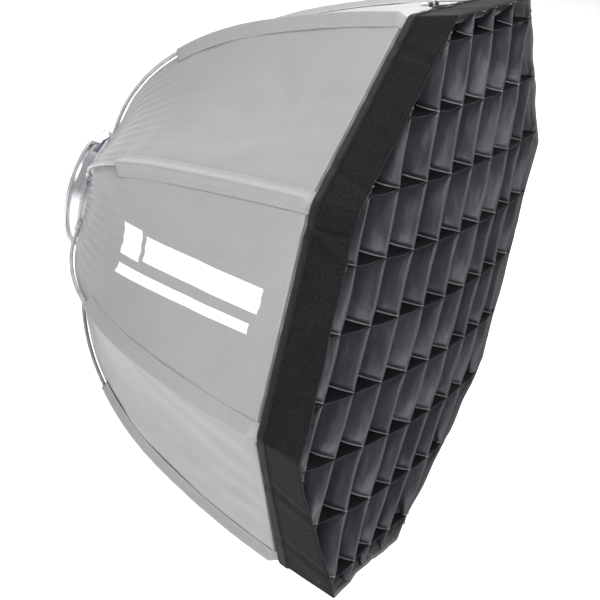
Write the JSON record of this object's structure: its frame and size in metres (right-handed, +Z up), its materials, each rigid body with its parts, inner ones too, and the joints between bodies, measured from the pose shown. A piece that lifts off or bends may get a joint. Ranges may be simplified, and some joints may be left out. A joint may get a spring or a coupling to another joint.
{
  "type": "octabox",
  "caption": "Octagonal collapsible softbox on a round clamp adapter, with flexed rods, fabric shell, front diffuser and a skirted soft egg-crate grid.",
  "frame": {"origin": "centre of the adapter's bore, in the plane of the adapter's rear face", "axes": "+Y along the optical axis, out of the adapter towards the flash head, so light leaves towards -Y; +Z up, through the latch, with two flats of the octagon level"},
  "size_m": [0.5636, 0.376, 0.5636],
  "materials": {
    "polished_metal": "polished",
    "rim_metal": "matte",
    "rubber": "matte",
    "steel": "plated",
    "latch_metal": "satin",
    "matte_metal": "matte",
    "rod_steel": "satin",
    "vinyl": "matte",
    "shell_cloth": "matte ripstop",
    "tape": "brushed",
    "diffusion_cloth": "translucent white",
    "elastic": "woven",
    "loop_cloth": "brushed loop",
    "grid_cloth": "satin",
    "webbing": "woven"
  },
  "bodies": {
    "adapter": {"mount_tube": "polished_metal", "rear_rim": "rim_metal", "grip_liner": "rubber", "snap_ring": "steel", "latch_base": "latch_metal", "latch_catch": "latch_metal", "latch_pivot_pin": "steel"},
    "lever": {"latch_lever": "latch_metal"},
    "link": {"latch_link": "steel"},
    "softbox": {"carrier_flange": "matte_metal", "rod_carrier": "matte_metal", "carrier_screws": "steel", "rod_1": "rod_steel", "rod_2": "rod_steel", "rod_3": "rod_steel", "rod_4": "rod_steel", "rod_5": "rod_steel", "rod_6": "rod_steel", "rod_7": "rod_steel", "rod_8": "rod_steel", "rod_tips": "vinyl", "shell_gore_1": "shell_cloth", "shell_gore_2": "shell_cloth", "shell_gore_3": "shell_cloth", "shell_gore_4": "shell_cloth", "shell_gore_5": "shell_cloth", "shell_gore_6": "shell_cloth", "shell_gore_7": "shell_cloth", "shell_gore_8": "shell_cloth", "rod_sleeves": "shell_cloth", "rear_hem": "shell_cloth", "front_lip": "shell_cloth", "diffuser_ledge": "tape", "inner_baffle": "diffusion_cloth", "baffle_straps": "elastic"},
    "diffuser": {"front_diffuser": "diffusion_cloth"},
    "grid": {"skirt_panels": "loop_cloth", "skirt_binding": "loop_cloth", "skirt_hook_tape": "tape", "tether_tab": "webbing", "grid_row_1": "grid_cloth", "grid_row_2": "grid_cloth", "grid_row_3": "grid_cloth", "grid_row_4": "grid_cloth", "grid_row_5": "grid_cloth", "grid_row_6": "grid_cloth", "grid_row_7": "grid_cloth", "grid_row_8": "grid_cloth", "grid_row_9": "grid_cloth", "grid_column_1": "grid_cloth", "grid_column_2": "grid_cloth", "grid_column_3": "grid_cloth", "grid_column_4": "grid_cloth", "grid_column_5": "grid_cloth", "grid_column_6": "grid_cloth", "grid_column_7": "grid_cloth", "grid_column_8": "grid_cloth", "grid_column_9": "grid_cloth"},
    "ring_1": {"tether_ring_1": "steel"},
    "ring_2": {"tether_ring_2": "steel"}
  },
  "joints": [
    {"name": "box_turn", "type": "hinge", "parent": "adapter", "child": "softbox", "pos_m": [0, -0.024, 0], "axis": [0, 1, 0], "continuous": true},
    {"name": "latch_lever_swing", "type": "hinge", "parent": "adapter", "child": "lever", "pos_m": [-0.009, -0.0106, 0.0595], "axis": [0, 1, 0], "range_deg": [0, 100]},
    {"name": "latch_link_swing", "type": "hinge", "parent": "lever", "child": "link", "pos_m": [-0.0145, -0.0106, 0.0585], "axis": [0, 1, 0], "range_deg": [-82, 0]},
    {"name": "diffuser_pull", "type": "slide", "parent": "softbox", "child": "diffuser", "axis": [0, -1, 0], "range_m": [0, 0.12]},
    {"name": "grid_pull", "type": "slide", "parent": "diffuser", "child": "grid", "axis": [0, -1, 0], "range_m": [0, 0.18]},
    {"name": "tether_ring_1_swing", "type": "hinge", "parent": "grid", "child": "ring_1", "pos_m": [-0.0305, -0.30352, 0.26988], "axis": [1, 0, 0], "range_deg": [0, 150]},
    {"name": "tether_ring_2_swing", "type": "hinge", "parent": "grid", "child": "ring_2", "pos_m": [-0.0135, -0.30352, 0.26988], "axis": [1, 0, 0], "range_deg": [-70, 75]}
  ],
  "couplings": [
    {"joint": "latch_link_swing", "follows": "latch_lever_swing", "ratio": -0.8}
  ]
}
